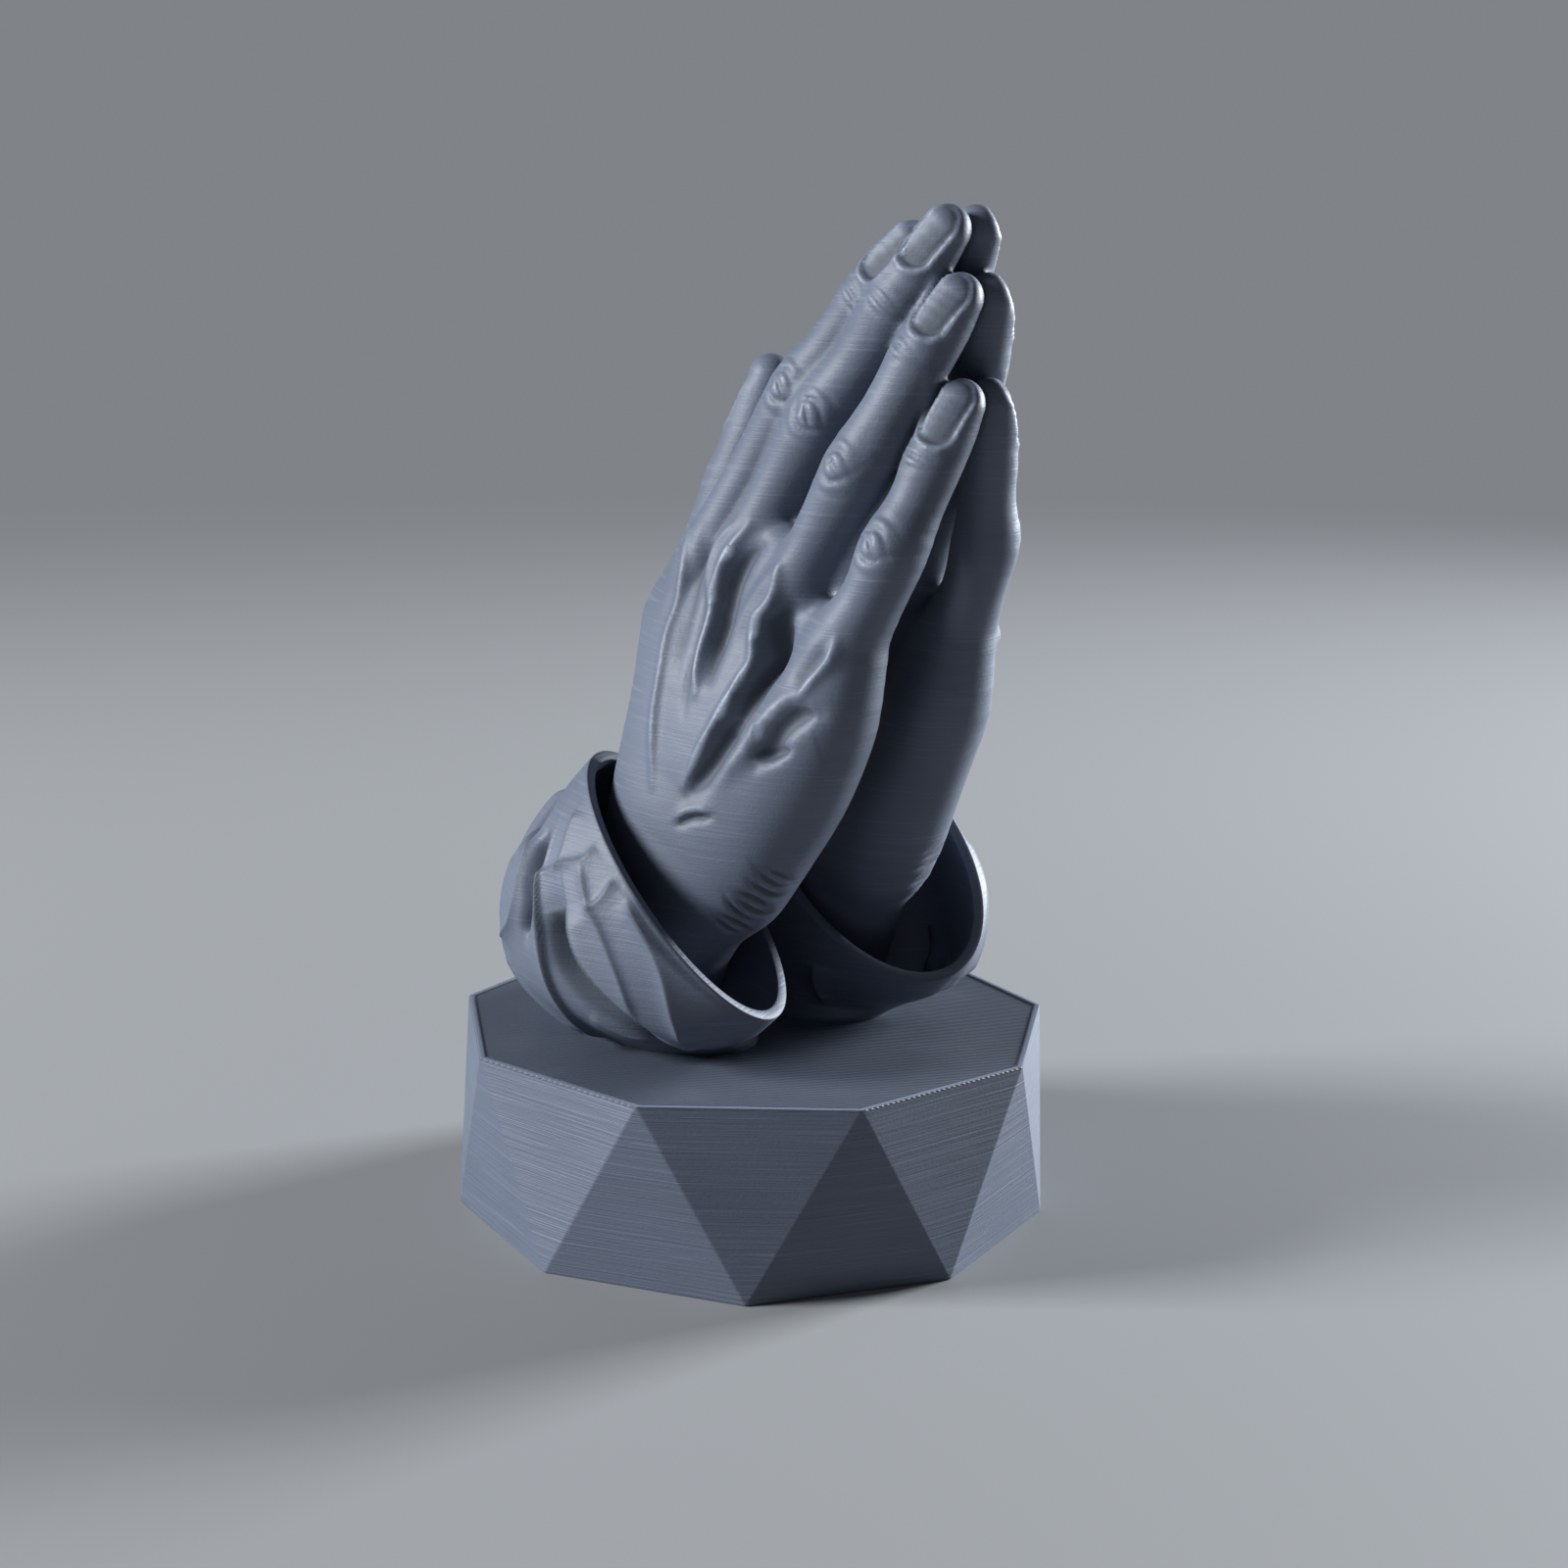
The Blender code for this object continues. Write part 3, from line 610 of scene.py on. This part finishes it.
def tube_faces(rows, columns):
    """Four-cornered faces of a sheet of rings, each of which closes on itself."""
    r, c = np.mgrid[0 : rows - 1, 0:columns]
    low, high, right = r * columns, (r + 1) * columns, (c + 1) % columns
    return np.stack([low + c, low + right, high + right, high + c], -1).reshape(-1, 4)


# %% Folds of the cloth
# name: (height on the left, its reach, height on the right, its reach, power, path), in mm. The path is in
# degrees round the cuff and rings up. The power makes a sharp fold a cusp and a soft one a rounded back.
SHARP, SOFT = 1, 2
FOLDS = {
    "bulge_edge": (0.55, 0.6, 1.25, 2.8, SHARP, [
        (292, 4.0), (285, 3.75), (276, 3.45), (267, 3.05), (259, 2.5), (252, 1.9), (248, 1.3)]),
    "under_fold": (-2.6, 1.9, -2.6, 1.9, SOFT, [
        (274, 3.75), (266, 3.5), (256, 3.15), (247, 2.95), (237, 2.8), (226, 2.7), (214, 2.5), (204, 2.1)]),
    "overlap": (1.6, 3.6, -1.1, 1.1, SHARP, [
        (272, 3.95), (264, 3.75), (258, 3.62), (248, 3.46), (237, 3.36), (227, 3.28), (218, 3.15),
        (206, 2.8), (196, 2.3)]),
    "front_facet": (1.25, 2.6, 1.25, 1.2, SHARP, [
        (262, 4.9), (250, 4.82), (240, 4.72), (230, 4.5), (220, 4.15), (210, 3.7), (205, 3.3)]),
    "long_crease": (0.55, 0.45, 0.55, 1.0, SHARP, [
        (282, 4.55), (268, 4.32), (259, 4.25), (249, 4.1), (240, 3.9), (232, 3.65), (225, 3.4)]),
    "star_arm": (0.55, 0.35, 0.65, 1.6, SHARP, [
        (294, 3.7), (290, 3.9), (287, 4.25), (283, 4.6), (285, 4.85)]),
    "star_back": (0.45, 0.35, 0.50, 1.4, SHARP, [(286, 4.15), (293, 4.4), (300, 4.62), (304, 4.75)]),
    "star_front": (0.50, 0.35, 0.55, 1.2, SHARP, [(266, 4.25), (267, 4.55), (270, 4.85)]),
    "back_bulge": (1.20, 1.2, 1.00, 2.2, SHARP, [
        (312, 3.9), (300, 3.72), (292, 3.4), (290, 2.9), (300, 2.4)]),
    "back_hollow": (-1.9, 1.0, -1.9, 1.0, SOFT, [
        (306, 4.15), (298, 3.95), (290, 3.7), (283, 3.4), (279, 2.95)]),
    "outer_bulge": (0.35, 1.2, 0.25, 1.6, SHARP, [
        (322, 3.4), (316, 3.15), (310, 2.8), (304, 2.4), (300, 2.0)]),
    "outer_notch": (-2.0, 2.6, -2.0, 2.6, SOFT, [
        (352, 4.6), (342, 4.4), (333, 4.2), (324, 4.0), (314, 3.95)]),
    "low_pleat": (0.60, 0.8, 0.40, 2.0, SHARP, [(244, 2.2), (234, 2.0), (222, 1.9), (208, 1.8)]),
    "foot_pleat": (0.65, 0.7, 0.65, 1.6, SHARP, [(300, 2.2), (288, 1.8), (276, 1.4), (268, 1.0)]),
    "far_pleat": (0.90, 0.8, 0.90, 2.4, SHARP, [(350, 4.4), (344, 3.4), (342, 2.4), (346, 1.4)]),
    "far_hollow": (-1.1, 1.6, -1.1, 1.6, SOFT, [(336, 4.2), (332, 3.2), (333, 2.2)]),
    "inner_pleat": (0.80, 0.8, 0.80, 2.0, SHARP, [(30, 4.4), (40, 3.4), (46, 2.4), (44, 1.4)]),
    "inner_hollow": (-0.9, 1.5, -0.9, 1.5, SOFT, [(60, 4.2), (66, 3.2), (70, 2.2)]),
    "heel_pleat": (0.75, 0.8, 0.75, 1.8, SHARP, [(120, 4.2), (128, 3.2), (138, 2.2)]),
}


def on_wall(wall, steps, path):
    """Places on the wall sheet for a path of (degrees, rings): the sheet read between its own points."""
    rings = smooth_rows(path, 6)
    columns = wall.shape[1]
    row = np.clip(rings[:, 1] * steps, 0, len(wall) - 1.001)
    column = rings[:, 0] / 360 * columns
    i, j = row.astype(int), column.astype(int)
    down, aside = (row - i)[:, None], (column - j)[:, None]
    j, k = j % columns, (j + 1) % columns
    lower = wall[i, j] * (1 - aside) + wall[i, k] * aside
    upper = wall[i + 1, j] * (1 - aside) + wall[i + 1, k] * aside
    return lower * (1 - down) + upper * down


def sheet_normals(sheet):
    """Outward direction at every point of a sheet of rings."""
    along = np.gradient(sheet, axis=0)
    aside = np.roll(sheet, -1, axis=1) - np.roll(sheet, 1, axis=1)
    normals = np.cross(aside, along)
    normals /= np.linalg.norm(normals, axis=2, keepdims=True)
    return normals * np.sign((normals[0, 0] * (sheet[0, 0] - sheet[0].mean(0))).sum())


# How much of a fold's height the rim of the cuff doesn't follow, and the rings over which that sets in
RIM_KEEPS = 0.85
RIM_RINGS = (4.8, 5.0)


def fold_wall(wall, steps):
    """The wall pushed in and out along its folds, and the height of the folds at each of its points. Each
    side of a fold is a bell or a cusp over the distance from its path, and the rim nearly keeps its line."""
    normals = sheet_normals(wall).reshape(-1, 3)
    points = wall.reshape(-1, 3)
    height = np.zeros(len(points))
    for left, left_reach, right, right_reach, power, path in FOLDS.values():
        places = on_wall(wall, steps, path)
        nearest, along, span = stroke_distance(points, places)
        close = np.flatnonzero(nearest < 4 * max(left_reach, right_reach))
        span = span[close]
        ahead = places[span + 1] - places[span]
        offset = points[close] - places[span]
        side = (offset * np.cross(normals[close], ahead)).sum(1)
        side = np.sign(side) * nearest[close]
        mix = ramp(side, -0.25, 0.25)
        distance = np.sqrt(nearest[close] ** 2 + 0.01)
        lift = left * np.exp(-((distance / left_reach) ** power)) * mix
        lift += right * np.exp(-((distance / right_reach) ** power)) * (1 - mix)
        height[close] += lift * ramp(along[close], -0.06, 0.12) * (1 - ramp(along[close], 0.88, 1.06))
    rows = np.repeat(np.arange(len(wall)), wall.shape[1]) / steps
    height *= 1 - RIM_KEEPS * ramp(rows, *RIM_RINGS)
    return (points + normals * height[:, None]).reshape(wall.shape), height


# %% Make both cuffs
CUFF_COLUMNS, CUFF_STEPS = ((520, 27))

sheet = cuff_sheet(CUFF_COLUMNS, CUFF_STEPS)
wall_rows = (len(CUFF_RINGS) - 1) * CUFF_STEPS + 1
sheet[:wall_rows], folded = fold_wall(sheet[:wall_rows], CUFF_STEPS)
rows, columns = sheet.shape[:2]
cuff_points = sheet.reshape(-1, 3)
cuff_faces = tube_faces(rows, columns)
hub = len(cuff_points)
cuff_points = np.vstack([cuff_points, sheet[0].mean(0), sheet[-1].mean(0)])
cuff_folds = np.concatenate([folded, np.zeros(len(cuff_points) - len(folded))])
turn = np.arange(columns)
after = (turn + 1) % columns
foot_fan = np.stack([np.full(columns, hub), after, turn], 1)
last_ring = (rows - 1) * columns
cup_fan = np.stack([np.full(columns, hub + 1), last_ring + turn, last_ring + after], 1)


def put_cuff(name, mirror):
    """The sheet plus a fan of triangles at each end, mirrored for the left side."""
    triangles = np.vstack([cuff_faces[:, [0, 1, 2]], cuff_faces[:, [0, 2, 3]], foot_fan, cup_fan])
    return dress(put_mesh(name, cuff_points * (mirror, 1, 1), triangles[:, ::mirror]))


cuffs = [put_cuff("right_cuff", 1), put_cuff("left_cuff", -1)]
for cuff in cuffs:
    mark_relief(cuff, CUFF_CALM, cuff_folds)

# %% [markdown]
# ## The plinth
#
# The plinth is a drum with nine sides whose top is turned by half a side, so its flank is a band of
# triangles between two rings of corners. Two more rings on top make the thin raised border that the last
# layer leaves. A narrow bevel softens the edges as on a real print.

# %% Make the plinth
PLINTH_SIDES = 9
PLINTH_FOOT_RADIUS = 37.5
PLINTH_TOP_RADIUS = 37.8


def ring_of_corners(radius, height, turn):
    """Corners of a level nine-sided ring: (radius sin a, -radius cos a, height)."""
    a = (np.arange(PLINTH_SIDES) + turn) * 2 * np.pi / PLINTH_SIDES
    return np.stack([radius * np.sin(a), -radius * np.cos(a), np.full(PLINTH_SIDES, height)], 1)


# In mm. The print's outline stands a hair proud of its top, as a band round the flat.
PERIMETER_BAND = 0.75
TOP_SINK = 0.14
BAND_SLOPE = 0.1
EDGE_BEVEL = 0.22
ridge_radius = PLINTH_TOP_RADIUS - PERIMETER_BAND
rings = [
    ring_of_corners(PLINTH_FOOT_RADIUS, 0.0, 0.0),
    ring_of_corners(PLINTH_TOP_RADIUS, PLINTH_TOP, 0.5),
    ring_of_corners(ridge_radius, PLINTH_TOP, 0.5),
    ring_of_corners(ridge_radius - BAND_SLOPE, PLINTH_TOP - TOP_SINK, 0.5),
]
corners = np.vstack([*rings, [(0, 0, 0), (0, 0, PLINTH_TOP - TOP_SINK)]])
k = np.arange(PLINTH_SIDES)
following = (k + 1) % PLINTH_SIDES
below, above = len(corners) - 2, len(corners) - 1


def band(lower, upper):
    """Triangles between two rings with their corners in line."""
    low, high = lower * PLINTH_SIDES, upper * PLINTH_SIDES
    return np.vstack([
        np.stack([low + k, low + following, high + following], 1),
        np.stack([low + k, high + following, high + k], 1),
    ])


plinth_faces = np.vstack([
    np.stack([k, following, k + PLINTH_SIDES], 1),
    np.stack([k + PLINTH_SIDES, following, following + PLINTH_SIDES], 1),
    band(1, 2),
    band(2, 3),
    np.stack([np.full(PLINTH_SIDES, below), following, k], 1),
    np.stack([np.full(PLINTH_SIDES, above), 3 * PLINTH_SIDES + k, 3 * PLINTH_SIDES + following], 1),
])
plinth = put_mesh("plinth", corners, plinth_faces, smooth=False)
edge = plinth.modifiers.new("edge", "BEVEL")
edge.width = EDGE_BEVEL * MM
edge.segments = 2
edge.limit_method = "ANGLE"
edge.angle_limit = math.radians(12)
dress(plinth)

# %% [markdown]
# ## The print's finish
#
# The plastic is a matte slate grey with a faint blue cast. Each ridge is painted paler as a painted
# highlight and each hollow darker as painted shade, and the plinth's raised border is painted pale as a
# painted highlight. Thin level lines show its layers, and the plinth's top is hatched by the printer's
# path. Shader maths is written as ordinary expressions: a small class wraps a node's output, and its
# operators add the Math nodes.


# %% Shader maths as expressions
class Wire:
    """A node output that can be used in sums."""

    def __init__(self, tree, socket):
        self.tree, self.socket = tree, socket

    def node(self, kind, settings=None, out=0, **sockets):
        """Any other node: its type, its settings first, then the values or links of its inputs."""
        made = self.tree.nodes.new(kind)
        for key, value in (settings or {}).items():
            setattr(made, key, value)
        for key, value in sockets.items():
            slot = made.inputs[int(key[1:])] if key[0] == "i" and key[1:].isdigit() else made.inputs[key]
            if isinstance(value, Wire):
                self.tree.links.new(value.socket, slot)
            else:
                slot.default_value = value
        return Wire(self.tree, made.outputs[out])

    def maths(self, operation, a, b):
        return self.node("ShaderNodeMath", {"operation": operation}, i0=a, i1=b)

    def __add__(self, other):
        return self.maths("ADD", self, other)

    __radd__ = __add__

    def __mul__(self, other):
        return self.maths("MULTIPLY", self, other)

    __rmul__ = __mul__

    def __sub__(self, other):
        return self.maths("SUBTRACT", self, other)

    def __rsub__(self, other):
        return self.maths("SUBTRACT", other, self)


def between(value, low, high):
    """0 where value is below low, 1 above high, and an S-shaped rise between them."""
    smooth = {"interpolation_type": "SMOOTHSTEP"}
    return value.node("ShaderNodeMapRange", smooth, i0=value, i1=low, i2=high)


# %% Slate print
SLATE = (0.112, 0.133, 0.186, 1.0)
# Pale and deep slate tint the streaks and the drifting tone, and also make the painted highlight and painted
# shade
PALE_SLATE = (0.225, 0.258, 0.340, 1.0)
DEEP_SLATE = (0.040, 0.048, 0.068, 1.0)


def slate_print(name):
    """Matte slate plastic: layer lines, drifting tone, a painted highlight on each ridge and rim, painted
    shade in each hollow, and a hatched top.
    """
    material = bpy.data.materials.new(name)
    material.use_nodes = True
    tree = material.node_tree
    shader = tree.nodes["Principled BSDF"]
    place = Wire(tree, tree.nodes.new("ShaderNodeTexCoord").outputs["Object"])
    relief = place.node("ShaderNodeAttribute", {"attribute_name": "relief"}, "Fac")
    calm = place.node("ShaderNodeAttribute", {"attribute_name": "calm"}, "Fac")
    height_mm = place.node("ShaderNodeSeparateXYZ", None, "Z", i0=place) * (1 / MM)

    def noise(scale, detail=3.0):
        stretched = place.node("ShaderNodeMapping", i0=place, Scale=scale)
        return place.node(
            "ShaderNodeTexNoise", Vector=stretched, Scale=1.0, Detail=detail, Roughness=0.55
        )

    def tint(factor, a, b):
        return place.node("ShaderNodeMix", {"data_type": "RGBA"}, 2, i0=factor, i6=a, i7=b)

    streaks = noise((70, 70, 3400))
    layers = noise((18, 18, 5200), detail=1.0)
    grain = noise((2600, 2600, 2600), detail=2.0)
    drift = noise((38, 38, 60), detail=2.0)
    # Painted highlight on each ridge of the relief
    ridge_highlight = between(relief, 0.03, 0.16)
    # Painted shade in each hollow of the relief
    hollow_shade = between(relief, -0.02, -0.14)
    flat_sides = between(calm, 0.3, 0.1)
    # The plinth's raised border, painted pale as a painted highlight
    plinth_rim_highlight = flat_sides * between(height_mm, PLINTH_TOP - 0.10, PLINTH_TOP - 0.02)
    plinth_top = flat_sides * between(height_mm, PLINTH_TOP - 0.30, PLINTH_TOP - 0.20) - plinth_rim_highlight
    hatch = place.node(
        "ShaderNodeTexWave", {"bands_direction": "DIAGONAL"}, "Fac",
        Vector=place, Scale=780.0, Distortion=1.2, Detail=2.0,
    )

    colour = tint(between(drift, 0.35, 0.70) * 0.22, SLATE, DEEP_SLATE)
    colour = tint(between(streaks, 0.52, 0.75) * 0.28, colour, PALE_SLATE)
    # Painted highlight: each ridge and the plinth's raised border are painted paler
    colour = tint(ridge_highlight * 0.60 + plinth_rim_highlight * 0.7, colour, PALE_SLATE)
    # Painted shade: each hollow is painted darker; the plinth's flat top is darker too
    colour = tint(hollow_shade * 0.75 + plinth_top * 0.55, colour, DEEP_SLATE)
    roughness = 0.42 + drift * 0.16 + hollow_shade * 0.12 + streaks * 0.12 - ridge_highlight * 0.08
    height = (streaks * 0.6 + layers * 0.5) * (1.0 - 0.85 * calm) + grain * 0.22 + hatch * plinth_top * 0.5
    bump = place.node("ShaderNodeBump", Height=height, Strength=0.55, Distance=0.00022)

    tree.links.new(colour.socket, shader.inputs["Base Color"])
    tree.links.new(roughness.socket, shader.inputs["Roughness"])
    tree.links.new(bump.socket, shader.inputs["Normal"])
    return material


slate = slate_print(SLOT)
for piece in (*hands, *cuffs, plinth):
    piece.data.materials.append(slate)

# %% [markdown]
# ## Floor, light and camera
#
# The floor is plain and fades into an even backdrop, which the lamps and the sky don't change. One lamp
# stands on the left, a little nearer the camera than the statue, and one on the right behind the statue,
# so the near hand is lit from both sides and its hollows stay dark.

# %% Floor
FLOOR_RADIUS = 3.0
FLOOR_SIDES = 96
FLOOR_TONE = (0.28, 0.285, 0.295, 1.0)
# Distances in metres between which the floor fades into the backdrop
FADE_FROM, FADE_TO = 0.18, 0.95
BACKDROP = (0.215, 0.225, 0.245, 1.0)


def seen_directly(start):
    """1 for camera and glossy rays, which look at the backdrop, and 0 for the rays that light the object."""
    camera_ray = start.node("ShaderNodeLightPath", None, "Is Camera Ray")
    return camera_ray.maths("MAXIMUM", camera_ray, start.node("ShaderNodeLightPath", None, "Is Glossy Ray"))


def floor_paint():
    """Pale matte paint that fades with distance into the plain tone of the backdrop."""
    material = bpy.data.materials.new("floor_paint")
    material.use_nodes = True
    tree = material.node_tree
    paint = tree.nodes["Principled BSDF"]
    paint.inputs["Base Color"].default_value = FLOOR_TONE
    paint.inputs["Roughness"].default_value = 0.75
    place = Wire(tree, tree.nodes.new("ShaderNodeTexCoord").outputs["Object"])
    distance = place.node("ShaderNodeVectorMath", {"operation": "LENGTH"}, "Value", i0=place)
    far = between(distance, FADE_FROM, FADE_TO)
    tone = place.node("ShaderNodeEmission", Color=BACKDROP, Strength=seen_directly(place))
    mixed = place.node("ShaderNodeMixShader", i0=far, i1=Wire(tree, paint.outputs[0]), i2=tone)
    tree.links.new(mixed.socket, tree.nodes["Material Output"].inputs["Surface"])
    return material


around = 2 * np.pi * np.arange(FLOOR_SIDES) / FLOOR_SIDES
disc = np.stack([np.cos(around), np.sin(around), 0 * around], 1) * FLOOR_RADIUS / MM
floor = put_mesh("floor", disc, np.arange(FLOOR_SIDES)[None])
floor.data.materials.append(floor_paint())

# %% Light
SKY_TINT = (0.86, 0.91, 1.0, 1.0)
SKY_STRENGTH = 0.06
LAMP_AIM = np.array((0, 0, 0.07))
LAMP_SIZE = 0.42

world = bpy.data.worlds.new("studio")
world.use_nodes = True
sky = world.node_tree.nodes["Background"]
sky.inputs["Color"].default_value = SKY_TINT
sky.inputs["Strength"].default_value = SKY_STRENGTH
start = Wire(world.node_tree, sky.outputs[0])
tone = start.node("ShaderNodeBackground", Color=BACKDROP, Strength=1.0)
shown = start.node("ShaderNodeMixShader", i0=seen_directly(start), i1=start, i2=tone)
world.node_tree.links.new(shown.socket, world.node_tree.nodes["World Output"].inputs["Surface"])
bpy.context.scene.world = world


def lamp(name, place, power, colour):
    """A square soft light that looks at the middle of the hands."""
    data = bpy.data.lights.new(name, "AREA")
    data.energy, data.size, data.color = power, LAMP_SIZE, colour
    made = bpy.data.objects.new(name, data)
    bpy.context.scene.collection.objects.link(made)
    back = (place - LAMP_AIM) / np.linalg.norm(place - LAMP_AIM)
    side = np.cross((0, 0, 1), back)
    side /= np.linalg.norm(side)
    turned = Matrix(np.stack([side, np.cross(back, side), back], 1).tolist()).to_4x4()
    turned.translation = place
    made.matrix_world = turned


lamp("key", (-1.10, 0.64, 0.56), 31.0, (0.95, 0.98, 1.0))
lamp("rim", (1.30, -0.16, 0.34), 46.0, (0.90, 0.95, 1.0))

# %% Camera
# Its place in mm, its right, up and back directions and its lens, solved from the plinth's corners
CAMERA_PLACE = (-196.446, -239.395, 120.896)
CAMERA_AXES = ((0.76822, -0.63997, 0.01637), (0.12353, 0.17328, 0.97709), (-0.62815, -0.74860, 0.21218))
CAMERA_LENS = 58.05

view = bpy.data.cameras.new("camera")
view.lens, view.sensor_width, view.clip_start = CAMERA_LENS, 36.0, 0.01
camera = bpy.data.objects.new("camera", view)
bpy.context.scene.collection.objects.link(camera)
stand = Matrix(np.array(CAMERA_AXES).T.tolist()).to_4x4()
stand.translation = [v * MM for v in CAMERA_PLACE]
camera.matrix_world = stand
bpy.context.scene.camera = camera
bpy.context.scene.view_settings.view_transform = "Standard"
